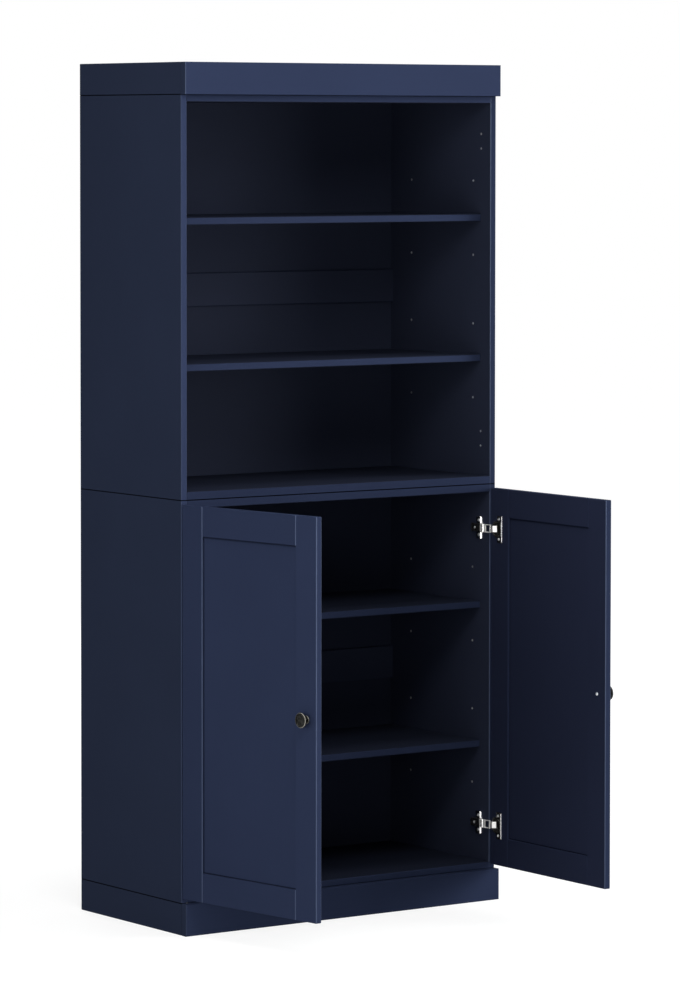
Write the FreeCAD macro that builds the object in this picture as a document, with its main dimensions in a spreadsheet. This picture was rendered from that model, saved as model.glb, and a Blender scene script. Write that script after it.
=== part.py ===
import FreeCAD, Part
import os
import re
import Sketcher
from FreeCAD import Placement, Rotation, Vector

# Bookcase in two stacked units: an open shelf unit on a cabinet with two framed doors.
# +Z up, +Y to the rear, doors on the -Y side, millimetres.
# Origin: on the floor, at the middle of the width and of the depth.
# The doors are placed as they stand half way through their travel, wide open.

SIZES = {
    # the whole
    "overall_width": 900,
    "overall_depth": 450,
    "overall_height": 2000,
    "joint_height": 1000,
    "plinth_height": 74,
    "cornice_height": 74,
    # boards, by thickness
    "side_board": 16,
    "shelf_board": 16,
    "end_deck": 16,
    "mid_deck": 19,
    "front_board": 19,
    "skirt_board": 16,
    "cap_board": 16,
    "back_board": 3,
    "board_arris": 1.2,
    # backs
    "back_inset": 25,
    "back_groove": 6,
    "back_groove_width": 3.2,
    "back_edge_play": 0.5,
    "rail_height": 79,
    "rail_board": 16,
    "rail_proud": 8,
    # shelves and their pins
    "shelf_setback": 36,
    "shelf_play": 1,
    "shelf_low_gap": 273.5,
    "shelf_mid_gap": 320,
    "pin_diameter": 5,
    "pin_hole_play": 0.2,
    "pin_hole_depth": 10,
    "pin_reach": 9,
    "pin_slot_width": 5.6,
    "pin_group_offset": 171.2,
    "pin_pitch": 89,
    "pin_front_column": 68,
    "pin_rear_column": 318,
    # cam joints between decks and sides
    "cam_diameter": 15,
    "cam_depth": 12.5,
    "cam_inset": 34,
    "cam_front": 60,
    "cam_rear": 340,
    "cam_socket": 6,
    "cam_play": 0.2,
    "bolt_diameter": 6,
    "bolt_bore": 8,
    "bolt_hole_depth": 10,
    # screws that hold the upper unit on the lower one
    "unit_screw_diameter": 4,
    "unit_screw_hole": 4.2,
    "unit_screw_bite": 12,
    "unit_screw_head": 9,
    "unit_screw_head_height": 2.5,
    "unit_screw_side": 150,
    "unit_screw_inset": 90,
    # doors
    "door_board": 16,
    "door_gap": 3,
    "door_top_reveal": 9.5,
    "door_bottom_reveal": 11,
    "door_middle_gap": 3,
    "frame_width": 68,
    "field_board": 6,
    "field_groove": 8,
    "field_groove_width": 6.2,
    "field_edge_play": 0.5,
    "left_door_angle": 82,
    "right_door_angle": 89,
    # the line that each door turns about, from the side's outer face and the carcass front
    "pivot_inset": 6.7,
    "pivot_ahead": 11.7,
    # hinge cups, in the doors
    "hinge_from_end": 107,
    "cup_from_edge": 24,
    "cup_diameter": 34.8,
    "cup_bore": 35.2,
    "cup_bore_depth": 12,
    "cup_mouth": 32.6,
    "cup_floor": 1,
    "flange_thick": 1.2,
    "flange_height": 64,
    "flange_disc": 40,
    "flange_wing_start": 25,
    "flange_wing_width": 20,
    "flange_corner": 2,
    "flange_lip": 3,
    "flange_lip_width": 1.5,
    "cup_screw_offset": 8,
    "cup_screw_pitch": 48,
    "cup_screw_diameter": 3.4,
    "cup_screw_hole": 3.6,
    "cup_screw_length": 11,
    "cup_screw_head": 7,
    "cup_screw_head_height": 1.4,
    # hinge plates and arms, on the sides
    "plate_front": 26,
    "plate_width": 22,
    "plate_height": 54,
    "plate_thick": 2,
    "wing_thick": 4.5,
    "wing_play": 0.5,
    "plate_corner": 4,
    "saddle_front": 22,
    "saddle_length": 40,
    "saddle_height": 8,
    "plate_hole_line": 37,
    "plate_hole_pitch": 35,
    "plate_hole_diameter": 5,
    "plate_hole_depth": 12,
    "plate_screw_diameter": 4.8,
    "plate_screw_head": 8,
    "plate_screw_head_height": 1.8,
    "arm_width": 19,
    "arm_wall": 1.5,
    "arm_low": 2.5,
    "arm_high": 9.5,
    "arm_rear": 62,
    "arm_web_front": 4,
    "arm_throat": 1.6,
    "ear_radius": 2.2,
    "saddle_play": 0.2,
    # links between arm and cup
    "link_pivot_in": 3.5,
    "link_pivot_ahead": 7.3,
    "link_angle": 24.7,
    "link_ratio": 1.16,
    "link_width": 15,
    "link_thick": 1.8,
    "link_run": 10.7,
    "link_hook": 10.9,
    "link_bend_angle": 68.8,
    "link_bend_radius": 2.5,
    "link_knuckle": 5,
    "link_pin": 2.6,
    "link_pin_bore": 2.8,
    # knobs
    "knob_from_edge": 32,
    "knob_diameter": 36,
    "knob_length": 25,
    "knob_rim": 5,
    "knob_lip": 2.2,
    "knob_dish": 2.5,
    "knob_taper": 9,
    "knob_neck": 11,
    "knob_base": 19,
    "knob_base_height": 3,
    "knob_edge": 1,
    "knob_bore_depth": 10,
    "knob_screw_diameter": 4,
    "knob_screw_hole": 4.4,
    "knob_screw_head": 8.5,
    "knob_screw_head_height": 2.4,
}

DOC = FreeCAD.newDocument("bookcase")
NODES = []
LEFT, RIGHT = "left", "right"
SAME_PLACE = 1e-3  # two places nearer than this count as one
SIDES = (LEFT, RIGHT)


def make_sheet():
    sheet = DOC.addObject("Spreadsheet::Sheet", "Sizes")
    for row, (alias, size) in enumerate(SIZES.items(), start=1):
        sheet.set(f"A{row}", alias)
        sheet.set(f"B{row}", str(size))
        sheet.setAlias(f"B{row}", alias)
    DOC.recompute()
    return sheet


SHEET = make_sheet()
WORD = re.compile(r"[a-z]+_[a-z_]+")


def sized(text):
    """The expression text with each size's name pointed at its cell."""
    return WORD.sub(lambda found: "Sizes." + found.group(0), str(text))


def bind(thing, path, text):
    thing.setExpression(path, sized(text))


def worth(text):
    return float(SHEET.evalExpression(sized(text)))


# ---- places that several pieces share, as expressions of the sizes ----
CARCASS_FRONT = "(front_board - overall_depth / 2)"
CARCASS_DEPTH = "(overall_depth - front_board)"
REAR = "(overall_depth / 2)"
INNER_WIDTH = "(overall_width - 2 * side_board)"
BACK_PLACE = "(overall_depth - front_board - back_inset)"
DOOR_LOW = "(plinth_height + door_bottom_reveal)"
DOOR_HEIGHT = "(joint_height - plinth_height - door_top_reveal - door_bottom_reveal)"
DOOR_WIDTH = "((overall_width - door_middle_gap) / 2)"
DOOR_INNER_FACE = "(pivot_ahead - door_gap)"
DOOR_MIDDLE = f"({DOOR_LOW} + {DOOR_HEIGHT} / 2)"
HINGE_LEVELS = {
    "lower": "(plinth_height + hinge_from_end)",
    "upper": "(joint_height - hinge_from_end)",
}


class Unit:
    """One of the two stacked carcasses: where its boards lie."""

    def __init__(self, name, low, high, floor_board, roof_board):
        self.name = name
        self.low = low
        self.high = high
        self.floor_board = floor_board
        self.roof_board = roof_board
        self.floor = f"({low} + {floor_board})"
        self.ceiling = f"({high} - {roof_board})"
        low_shelf = f"({self.floor} + shelf_low_gap)"
        high_shelf = f"({low_shelf} + shelf_board + shelf_mid_gap)"
        self.shelves = {"low": low_shelf, "high": high_shelf}
        self.rail_low = f"(({self.floor} + {self.ceiling} - rail_height) / 2)"
        self.rail_high = f"({self.rail_low} + rail_height)"


UPPER_TOP = "(overall_height - cornice_height)"
UNITS = (
    Unit("lower", "plinth_height", "joint_height", "end_deck", "mid_deck"),
    Unit("upper", "joint_height", UPPER_TOP, "mid_deck", "end_deck"),
)


# ---- sketch outlines ----
def at_point(sketch, shape, end, across, up):
    for kind, place in (("DistanceX", across), ("DistanceY", up)):
        fixed = sketch.addConstraint(Sketcher.Constraint(kind, -1, 1, shape, end, worth(place)))
        bind(sketch, f"Constraints[{fixed}]", place)


def outline(sketch, corners):
    """A closed outline of straight lines through the corners."""
    first = sketch.GeometryCount
    spots = [Vector(worth(across), worth(up), 0) for across, up in corners]
    count = len(corners)
    for index in range(count):
        line = Part.LineSegment(spots[index], spots[(index + 1) % count])
        sketch.addGeometry(line, False)
    for index in range(count):
        following = first + (index + 1) % count
        sketch.addConstraint(Sketcher.Constraint("Coincident", first + index, 2, following, 1))
    for index, (across, up) in enumerate(corners):
        at_point(sketch, first + index, 1, across, up)


def rectangle(sketch, across, up, width, height):
    far = f"({across}) + ({width})"
    top = f"({up}) + ({height})"
    outline(sketch, [(across, up), (far, up), (far, top), (across, top)])


def circle(sketch, across, up, diameter):
    shape = sketch.GeometryCount
    centre = Vector(worth(across), worth(up), 0)
    sketch.addGeometry(Part.Circle(centre, Vector(0, 0, 1), worth(diameter) / 2), False)
    wide = sketch.addConstraint(Sketcher.Constraint("Diameter", shape, worth(diameter)))
    bind(sketch, f"Constraints[{wide}]", diameter)
    at_point(sketch, shape, 3, across, up)


class Piece:
    """A PartDesign body, drawn on its own origin planes."""

    def __init__(self, label, node=True):
        self.body = DOC.addObject("PartDesign::Body", label)
        self.body.Label = label
        if node:
            NODES.append(self.body)

    def place(self, x="0", y="0", z="0", turn=None):
        put(self.body, x, y, z, turn)
        return self

    def sketch(self, plane, offset=("0", "0", "0")):
        """A sketch on an origin plane, moved along its own two axes and its normal."""
        sketch = self.body.newObject("Sketcher::SketchObject", self.body.Label + "_sketch")
        base = next(f for f in self.body.Origin.OriginFeatures if f.Role == plane)
        sketch.AttachmentSupport = [(base, "")]
        sketch.MapMode = "FlatFace"
        for axis, distance in zip("xyz", offset):
            if distance != "0":
                bind(sketch, f"AttachmentOffset.Base.{axis}", distance)
        return sketch

    def pad(self, sketch, length):
        pad = self.body.newObject("PartDesign::Pad", self.body.Label + "_pad")
        pad.Profile = sketch
        bind(pad, "Length", length)
        DOC.recompute()
        return pad

    def pocket(self, sketch, depth, along_normal=False):
        """A pocket cuts against the sketch's normal, unless it is told to go along it."""
        before = self.body.Shape.Volume
        pocket = self.body.newObject("PartDesign::Pocket", self.body.Label + "_pocket")
        pocket.Profile = sketch
        pocket.Reversed = along_normal
        bind(pocket, "Length", depth)
        DOC.recompute()
        if self.body.Shape.Volume >= before:
            raise RuntimeError(self.body.Label + ": a pocket cut nothing")
        return pocket

    def edges(self, wanted):
        edges = self.body.Tip.Shape.Edges
        return [f"Edge{n}" for n, edge in enumerate(edges, start=1) if wanted(edge)]

    def ease(self, wanted=lambda edge: True, size="board_arris"):
        """Takes the sharp arris off the wanted edges."""
        base = (self.body.Tip, self.edges(wanted))
        chamfer = self.body.newObject("PartDesign::Chamfer", self.body.Label + "_arris")
        chamfer.Base = base
        bind(chamfer, "Size", size)
        DOC.recompute()

    def round(self, wanted, radius):
        base = (self.body.Tip, self.edges(wanted))
        fillet = self.body.newObject("PartDesign::Fillet", self.body.Label + "_round")
        fillet.Base = base
        bind(fillet, "Radius", radius)
        DOC.recompute()


def put(thing, x="0", y="0", z="0", turn=None):
    """Places a thing, turned about the vertical by an expression in degrees."""
    if turn is not None:
        thing.Placement = Placement(Vector(), Rotation(Vector(0, 0, 1), 1))
        bind(thing, "Placement.Rotation.Angle", turn)
    for axis, distance in zip("xyz", (x, y, z)):
        if distance != "0":
            bind(thing, f"Placement.Base.{axis}", distance)


def gather(label, things):
    """Separate solids of one node."""
    group = DOC.addObject("Part::Compound", label)
    group.Label = label
    group.Links = things
    NODES.append(group)
    return group


def rod(label, diameter, length, x, y, z, direction=Vector(0, 0, 1)):
    """A round bar from (x, y, z) along the direction."""
    bar = DOC.addObject("Part::Cylinder", label)
    bind(bar, "Radius", f"({diameter}) / 2")
    bind(bar, "Height", length)
    bar.Placement = Placement(Vector(), Rotation(Vector(0, 0, 1), direction))
    put(bar, x, y, z)
    return bar


def screw(label, shaft, length, head, head_height, x, y, z, direction):
    """A screw whose head sits on (x, y, z), with its shaft along the direction."""
    back = {"x": x, "y": y, "z": z}
    axis = "xyz"[[abs(part) for part in direction].index(1)]
    sign = "-" if direction[axis_index(axis)] > 0 else "+"
    back[axis] = f"({back[axis]}) {sign} {head_height}"
    stem = rod(label + "_stem", shaft, length, x, y, z, direction)
    cap = rod(label + "_cap", head, head_height, back["x"], back["y"], back["z"], direction)
    whole = DOC.addObject("Part::MultiFuse", label)
    whole.Shapes = [stem, cap]
    return whole


def axis_index(axis):
    return "xyz".index(axis)


def lies_on(axis, distance):
    """Edges that lie wholly in the plane at this distance along an axis of the body."""
    index = axis_index(axis)

    def wanted(edge):
        return all(abs(vertex.Point[index] - worth(distance)) < SAME_PLACE for vertex in edge.Vertexes)

    return wanted


def runs_along(axis):
    index = axis_index(axis)

    def wanted(edge):
        if len(edge.Vertexes) < 2:
            return False
        run = edge.Vertexes[1].Point - edge.Vertexes[0].Point
        return abs(abs(run[index]) - run.Length) < SAME_PLACE

    return wanted


# ---- carcass boards ----
def side_panel(unit, side):
    piece = Piece(f"{unit.name}_{side}_side")
    outer = "-overall_width / 2" if side == LEFT else "overall_width / 2 - side_board"
    piece.place(outer, CARCASS_FRONT, unit.low)
    height = f"({unit.high} - {unit.low})"
    board = piece.sketch("YZ_Plane")
    rectangle(board, "0", "0", CARCASS_DEPTH, height)
    piece.pad(board, "side_board")
    piece.ease(lies_on("y", "0"))
    inner = "side_board" if side == LEFT else "0"
    inwards = side == RIGHT

    def drill(spots, diameter, depth):
        holes = piece.sketch("YZ_Plane", ("0", "0", inner))
        for back, up in spots:
            circle(holes, back, f"{up} - {unit.low}", diameter)
        piece.pocket(holes, depth, inwards)

    drill(pin_spots(unit), "pin_diameter + pin_hole_play", "pin_hole_depth")
    drill(plate_spots(unit), "plate_hole_diameter", "plate_hole_depth")
    drill(bolt_spots(unit), "bolt_diameter", "bolt_hole_depth")
    groove = piece.sketch("YZ_Plane", ("0", "0", inner))
    rectangle(groove, f"{BACK_PLACE} - back_groove_width", "0", "back_groove_width", height)
    piece.pocket(groove, "back_groove", inwards)


def pin_spots(unit):
    """Distances from the carcass front, and heights, of the shelf-pin holes.

    The holes in use follow the shelves. The spare ones lie in two groups, alike above and
    below the middle of the opening, so that a side can be fitted either way up.
    """
    middle = f"(({unit.floor} + {unit.ceiling}) / 2)"
    levels = [f"{underside} + pin_diameter / 2" for underside in unit.shelves.values()]
    for group in ("-", "+"):
        for step in ("-", "+"):
            levels.append(f"{middle} {group} pin_group_offset {step} pin_pitch")
    return [(column, up) for up in levels for column in ("pin_front_column", "pin_rear_column")]


def hinge_levels(unit):
    return (f"({unit.low} + hinge_from_end)", f"({unit.high} - hinge_from_end)")


def plate_spots(unit):
    spots = []
    for level in hinge_levels(unit):
        for step in ("-", "+"):
            spots.append(("plate_hole_line", f"{level} {step} plate_hole_pitch / 2"))
    return spots


def bolt_levels(unit):
    return (f"({unit.low} + {unit.floor_board} / 2)", f"({unit.high} - {unit.roof_board} / 2)")


def bolt_spots(unit):
    return [(back, up) for up in bolt_levels(unit) for back in ("cam_front", "cam_rear")]


def shown_face(level, board_thick):
    """The height, within a deck, of the face that looks into the opening."""
    return board_thick if level == "bottom" else "0"


def deck(unit, level):
    """A board between the sides, with its cams let into the face that is out of sight."""
    piece = Piece(f"{unit.name}_{level}_deck")
    board_thick = unit.floor_board if level == "bottom" else unit.roof_board
    low = unit.low if level == "bottom" else unit.ceiling
    piece.place("side_board - overall_width / 2", CARCASS_FRONT, low)
    board = piece.sketch("XY_Plane")
    rectangle(board, "0", "0", INNER_WIDTH, CARCASS_DEPTH)
    piece.pad(board, board_thick)
    eased = ("0", board_thick) if board_thick == "mid_deck" else (shown_face(level, board_thick),)
    for height in eased:
        piece.ease(lambda edge: lies_on("y", "0")(edge) and lies_on("z", height)(edge))
    faces = {True: ("0", True), False: (board_thick, False)}
    shown, hidden = faces[level == "top"], faces[level == "bottom"]
    groove = piece.sketch("XY_Plane", ("0", "0", shown[0]))
    rectangle(groove, "0", f"{BACK_PLACE} - back_groove_width", INNER_WIDTH, "back_groove_width")
    piece.pocket(groove, "back_groove", shown[1])
    cams = piece.sketch("XY_Plane", ("0", "0", hidden[0]))
    for across in ("cam_inset", f"{INNER_WIDTH} - cam_inset"):
        for back in ("cam_front", "cam_rear"):
            circle(cams, across, back, "cam_diameter")
    piece.pocket(cams, "cam_depth", hidden[1])
    for end, inwards in (("0", True), (INNER_WIDTH, False)):
        bores = piece.sketch("YZ_Plane", ("0", "0", end))
        for back in ("cam_front", "cam_rear"):
            circle(bores, back, f"{board_thick} / 2", "bolt_bore")
        piece.pocket(bores, "cam_inset", inwards)
    return piece


def unit_screw_spots():
    across = ("unit_screw_side", f"{INNER_WIDTH} - unit_screw_side")
    back = ("unit_screw_inset", f"{CARCASS_DEPTH} - unit_screw_inset")
    return [(x, y) for x in across for y in back]


def screw_holes(piece, face, depth, along_normal):
    holes = piece.sketch("XY_Plane", ("0", "0", face))
    for across, back in unit_screw_spots():
        circle(holes, across, back, "unit_screw_hole")
    piece.pocket(holes, depth, along_normal)


def unit_screws():
    screws = []
    for index, (across, back) in enumerate(unit_screw_spots()):
        x = f"side_board - overall_width / 2 + {across}"
        y = f"{CARCASS_FRONT} + {back}"
        under = "joint_height - mid_deck"
        screws.append(
            screw(f"unit_screw_{index}", "unit_screw_diameter", "mid_deck + unit_screw_bite",
                  "unit_screw_head", "unit_screw_head_height", x, y, under, Vector(0, 0, 1))
        )
    gather("unit_screws", screws)


def shelf(unit, level):
    piece = Piece(f"{unit.name}_{level}_shelf")
    depth = f"({BACK_PLACE} - back_groove_width - shelf_setback - shelf_play)"
    width = f"({INNER_WIDTH} - 2 * shelf_play)"
    piece.place(
        "side_board + shelf_play - overall_width / 2",
        f"{CARCASS_FRONT} + shelf_setback",
        unit.shelves[level],
    )
    board = piece.sketch("XY_Plane")
    rectangle(board, "0", "0", width, depth)
    piece.pad(board, "shelf_board")
    piece.ease(lies_on("y", "0"))
    slots = piece.sketch("XY_Plane")
    run = "(pin_reach + shelf_play)"
    for column in ("pin_front_column", "pin_rear_column"):
        low = f"{column} - shelf_setback - pin_slot_width / 2"
        rectangle(slots, "0", low, run, "pin_slot_width")
        rectangle(slots, f"{width} - {run}", low, run, "pin_slot_width")
    piece.pocket(slots, "pin_diameter", True)


def shelf_pins():
    """Each pin bottoms in its hole, and the shelf's slot rests on it."""
    pins = []
    reach = "pin_hole_depth + pin_reach"
    for unit in UNITS:
        for underside in unit.shelves.values():
            for column in ("pin_front_column", "pin_rear_column"):
                for sign, way in (("-", 1), ("", -1)):
                    start = f"{sign}(overall_width / 2 - side_board + pin_hole_depth)"
                    pins.append(
                        rod(f"pin_{len(pins)}", "pin_diameter", reach, start,
                            f"{CARCASS_FRONT} + {column}",
                            f"{underside} + pin_diameter / 2", Vector(way, 0, 0))
                    )
    gather("shelf_pins", pins)


def cam_slot(label, x, y, z):
    """The slot in a cam that takes its bolt's head, from x inwards and about y and z."""
    slot = DOC.addObject("Part::Box", label)
    across = "(bolt_diameter + cam_play)"
    bind(slot, "Length", "cam_socket")
    bind(slot, "Width", across)
    bind(slot, "Height", across)
    put(slot, x, f"{y} - {across} / 2", f"{z} - {across} / 2")
    return slot


def cam_joints():
    """Cams let into the decks, and the bolts that they draw in from the sides."""
    cams = []
    bolts = []
    reach = "(cam_inset - cam_diameter / 2 + cam_socket)"
    for unit in UNITS:
        hidden = (
            (unit.low, f"{unit.floor_board} / 2", f"{unit.low}"),
            (unit.ceiling, f"{unit.roof_board} / 2", f"{unit.high} - cam_depth"),
        )
        for low, middle, cam_low in hidden:
            for back in ("cam_front", "cam_rear"):
                for sign, way in (("-", 1), ("", -1)):
                    tag = len(cams)
                    face = f"{sign}(overall_width / 2 - side_board)"
                    y = f"{CARCASS_FRONT} + {back}"
                    axis = f"{low} + {middle}"
                    disc = rod(f"cam_disc_{tag}", "cam_diameter - cam_play", "cam_depth",
                               f"{face} + {way} * cam_inset", y, cam_low)
                    rim = f"{face} + {way} * (cam_inset - cam_diameter / 2)"
                    slot_low = rim if way > 0 else f"{rim} - cam_socket"
                    socket = cam_slot(f"cam_socket_{tag}", slot_low, y, axis)
                    cam = DOC.addObject("Part::Cut", f"cam_{tag}")
                    cam.Base = disc
                    cam.Tool = socket
                    cams.append(cam)
                    bolts.append(
                        rod(f"bolt_{tag}", "bolt_diameter", f"bolt_hole_depth + {reach}",
                            f"{face} - {way} * bolt_hole_depth", y, axis, Vector(way, 0, 0))
                    )
    gather("cam_locks", cams)
    gather("cam_bolts", bolts)


def back_panel(unit, level):
    piece = Piece(f"{unit.name}_{level}_back")
    reach = "(back_groove - back_edge_play)"
    ends = {
        "low": (f"{unit.floor} - {reach}", f"{unit.rail_low} + {reach}"),
        "high": (f"{unit.rail_high} - {reach}", f"{unit.ceiling} + {reach}"),
    }
    low, high = ends[level]
    piece.place(
        f"side_board - {reach} - overall_width / 2",
        f"{CARCASS_FRONT} + {BACK_PLACE} - back_groove_width + back_board",
        low,
    )
    board = piece.sketch("XZ_Plane")
    rectangle(board, "0", "0", f"{INNER_WIDTH} + 2 * {reach}", f"({high}) - ({low})")
    piece.pad(board, "back_board")


def back_rail(unit):
    """A rail between the sides that takes both backs in its edges."""
    piece = Piece(f"{unit.name}_back_rail")
    front = f"({BACK_PLACE} - back_groove_width - rail_proud)"
    piece.place(
        "side_board - overall_width / 2",
        f"{CARCASS_FRONT} + {front} + rail_board",
        unit.rail_low,
    )
    board = piece.sketch("XZ_Plane")
    rectangle(board, "0", "0", INNER_WIDTH, "rail_height")
    piece.pad(board, "rail_board")
    piece.ease(lambda edge: lies_on("y", "-rail_board")(edge) and runs_along("x")(edge))
    for face, along_normal in (("0", True), ("rail_height", False)):
        groove = piece.sketch("XY_Plane", ("0", "0", face))
        rectangle(groove, "0", "rail_proud - rail_board", INNER_WIDTH, "back_groove_width")
        piece.pocket(groove, "back_groove", along_normal)


# ---- plinth and cornice: a frame of boards, each on edge ----
def skirt(name, low, height):
    front = Piece(f"{name}_front").place("-overall_width / 2", CARCASS_FRONT, low)
    board = front.sketch("XZ_Plane")
    rectangle(board, "0", "0", "overall_width", height)
    front.pad(board, "front_board")
    front.ease(lambda edge: lies_on("y", "-front_board")(edge) or runs_along("z")(edge))
    for side in SIDES:
        outer = "-overall_width / 2" if side == LEFT else "overall_width / 2 - skirt_board"
        end = Piece(f"{name}_{side}").place(outer, CARCASS_FRONT, low)
        board = end.sketch("YZ_Plane")
        rectangle(board, "0", "0", CARCASS_DEPTH, height)
        end.pad(board, "skirt_board")
        end.ease(runs_along("y"))
    rear = Piece(f"{name}_rear").place("skirt_board - overall_width / 2", REAR, low)
    board = rear.sketch("XZ_Plane")
    rectangle(board, "0", "0", "overall_width - 2 * skirt_board", height)
    rear.pad(board, "skirt_board")


def plinth_stretcher():
    """The middle board that carries the bottom deck at mid span."""
    piece = Piece("plinth_stretcher").place("-skirt_board / 2", CARCASS_FRONT, "0")
    board = piece.sketch("YZ_Plane")
    rectangle(board, "0", "0", f"{CARCASS_DEPTH} - skirt_board", "plinth_height")
    piece.pad(board, "skirt_board")


def cornice_cap():
    piece = Piece("cornice_cap")
    piece.place("skirt_board - overall_width / 2", CARCASS_FRONT, "overall_height - cap_board")
    board = piece.sketch("XY_Plane")
    rectangle(board, "0", "0", "overall_width - 2 * skirt_board", f"{CARCASS_DEPTH} - skirt_board")
    piece.pad(board, "cap_board")


# ---- doors, drawn closed about the line that they turn on ----
def span(side, start, width):
    """Where a stretch starts along x: the right door is the left one mirrored."""
    return f"({start})" if side == LEFT else f"(-({start}) - ({width}))"


def spot(side, place):
    return f"({place})" if side == LEFT else f"(-({place}))"


def pivot_place(side):
    x = "(pivot_inset - overall_width / 2)"
    turn = "-left_door_angle" if side == LEFT else "right_door_angle"
    return spot(side, x), f"{CARCASS_FRONT} - pivot_ahead", "0", turn


def door_board(side, name, start, width, low, height):
    piece = Piece(f"{side}_door_{name}").place(*pivot_place(side))
    x = span(side, start, width)
    board = piece.sketch("XZ_Plane", (x, low, f"-{DOOR_INNER_FACE}"))
    rectangle(board, "0", "0", width, height)
    piece.pad(board, "door_board")
    piece.ease()
    return piece


FIELD_REAR = f"({DOOR_INNER_FACE} - (door_board - field_groove_width) / 2)"
FIELD_LOW = f"({DOOR_LOW} + frame_width)"
FIELD_HIGH = f"({DOOR_LOW} + {DOOR_HEIGHT} - frame_width)"
FREE_EDGE = f"({DOOR_WIDTH} - pivot_inset)"
CUP_PLACE = "(cup_from_edge - pivot_inset)"
KNOB_PLACE = f"({FREE_EDGE} - knob_from_edge)"


def stile_groove(piece, side, edge, toward_free):
    """The groove for the field in a stile's inner edge; toward_free if that edge faces it."""
    groove = piece.sketch("YZ_Plane", ("0", "0", spot(side, edge)))
    low = f"{FIELD_LOW} - field_groove"
    rectangle(groove, f"{FIELD_REAR} - field_groove_width", low, "field_groove_width",
              f"{FIELD_HIGH} - {FIELD_LOW} + 2 * field_groove")
    faces_plus_x = toward_free == (side == LEFT)
    piece.pocket(groove, "field_groove", not faces_plus_x)


def door(side):
    hinge_stile = door_board(side, "hinge_stile", "-pivot_inset", "frame_width", DOOR_LOW, DOOR_HEIGHT)
    stile_groove(hinge_stile, side, "frame_width - pivot_inset", True)
    for bore, depth, spots in (
        ("cup_bore", "cup_bore_depth", [(CUP_PLACE, level) for level in HINGE_LEVELS.values()]),
        ("cup_screw_hole", "cup_screw_length", cup_screw_spots()),
    ):
        holes = hinge_stile.sketch("XZ_Plane", ("0", "0", f"-{DOOR_INNER_FACE}"))
        for across, up in spots:
            circle(holes, spot(side, across), up, bore)
        hinge_stile.pocket(holes, depth, True)
    start = f"{FREE_EDGE} - frame_width"
    free_stile = door_board(side, "free_stile", start, "frame_width", DOOR_LOW, DOOR_HEIGHT)
    stile_groove(free_stile, side, start, False)
    hole = free_stile.sketch("XZ_Plane", ("0", "0", f"-{DOOR_INNER_FACE}"))
    circle(hole, spot(side, KNOB_PLACE), DOOR_MIDDLE, "knob_screw_hole")
    free_stile.pocket(hole, "door_board", True)
    rail_start = "(frame_width - pivot_inset)"
    rail_width = f"({DOOR_WIDTH} - 2 * frame_width)"
    rails = (
        ("bottom_rail", DOOR_LOW, FIELD_LOW, False),
        ("top_rail", FIELD_HIGH, FIELD_HIGH, True),
    )
    for name, low, edge, upwards in rails:
        rail = door_board(side, name, rail_start, rail_width, low, "frame_width")
        groove = rail.sketch("XY_Plane", (span(side, rail_start, rail_width), "0", edge))
        rectangle(groove, "0", f"{FIELD_REAR} - field_groove_width", rail_width, "field_groove_width")
        rail.pocket(groove, "field_groove", upwards)
    field(side, rail_start, rail_width)


def field(side, start, width):
    """The flat field in the door's frame, flush with the front of its groove."""
    reach = "(field_groove - field_edge_play)"
    piece = Piece(f"{side}_door_field").place(*pivot_place(side))
    whole = f"({width} + 2 * {reach})"
    offset = (
        span(side, f"{start} - {reach}", whole),
        f"{FIELD_LOW} - {reach}",
        f"field_groove_width - field_board - {FIELD_REAR}",
    )
    board = piece.sketch("XZ_Plane", offset)
    rectangle(board, "0", "0", whole, f"{FIELD_HIGH} - {FIELD_LOW} + 2 * {reach}")
    piece.pad(board, "field_board")


# ---- knobs ----
def knob(side):
    piece = Piece(f"{side}_knob").place(*pivot_place(side))
    outer_face = f"({DOOR_INNER_FACE} - door_board)"
    tip = f"({outer_face} - knob_length)"
    offset = (spot(side, KNOB_PLACE), tip, DOOR_MIDDLE)
    profile = piece.sketch("XY_Plane", offset)
    rim = "knob_diameter / 2"
    outline(profile, [
        ("0", "knob_dish"),
        (f"{rim} - knob_lip - knob_dish", "knob_dish"),
        (f"{rim} - knob_lip", "0"),
        (f"{rim} - knob_edge", "0"),
        (rim, "knob_edge"),
        (rim, "knob_rim"),
        ("knob_neck / 2", "knob_rim + knob_taper"),
        ("knob_neck / 2", "knob_length - knob_base_height"),
        ("knob_base / 2 - knob_edge", "knob_length - knob_base_height"),
        ("knob_base / 2", "knob_length - knob_base_height + knob_edge"),
        ("knob_base / 2", "knob_length"),
        ("0", "knob_length"),
    ])
    turned = piece.body.newObject("PartDesign::Revolution", f"{side}_knob_turned")
    turned.Profile = profile
    turned.ReferenceAxis = (profile, ["V_Axis"])
    DOC.recompute()
    bore = piece.sketch("XZ_Plane", ("0", "0", f"-{outer_face}"))
    circle(bore, spot(side, KNOB_PLACE), DOOR_MIDDLE, "knob_screw_diameter")
    piece.pocket(bore, "knob_bore_depth", True)


def knob_screw(side):
    whole = screw(
        f"{side}_knob_screw", "knob_screw_diameter", "door_board + knob_bore_depth",
        "knob_screw_head", "knob_screw_head_height",
        spot(side, KNOB_PLACE), DOOR_INNER_FACE, DOOR_MIDDLE, Vector(0, -1, 0),
    )
    whole.Label = f"{side}_knob_screw"
    put(whole, *pivot_place(side))
    NODES.append(whole)


# ---- concealed hinges ----
def cup_screw_spots():
    across = f"({CUP_PLACE} + cup_screw_offset)"
    spots = []
    for level in HINGE_LEVELS.values():
        for step in ("-", "+"):
            spots.append((across, f"{level} {step} cup_screw_pitch / 2"))
    return spots


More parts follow.
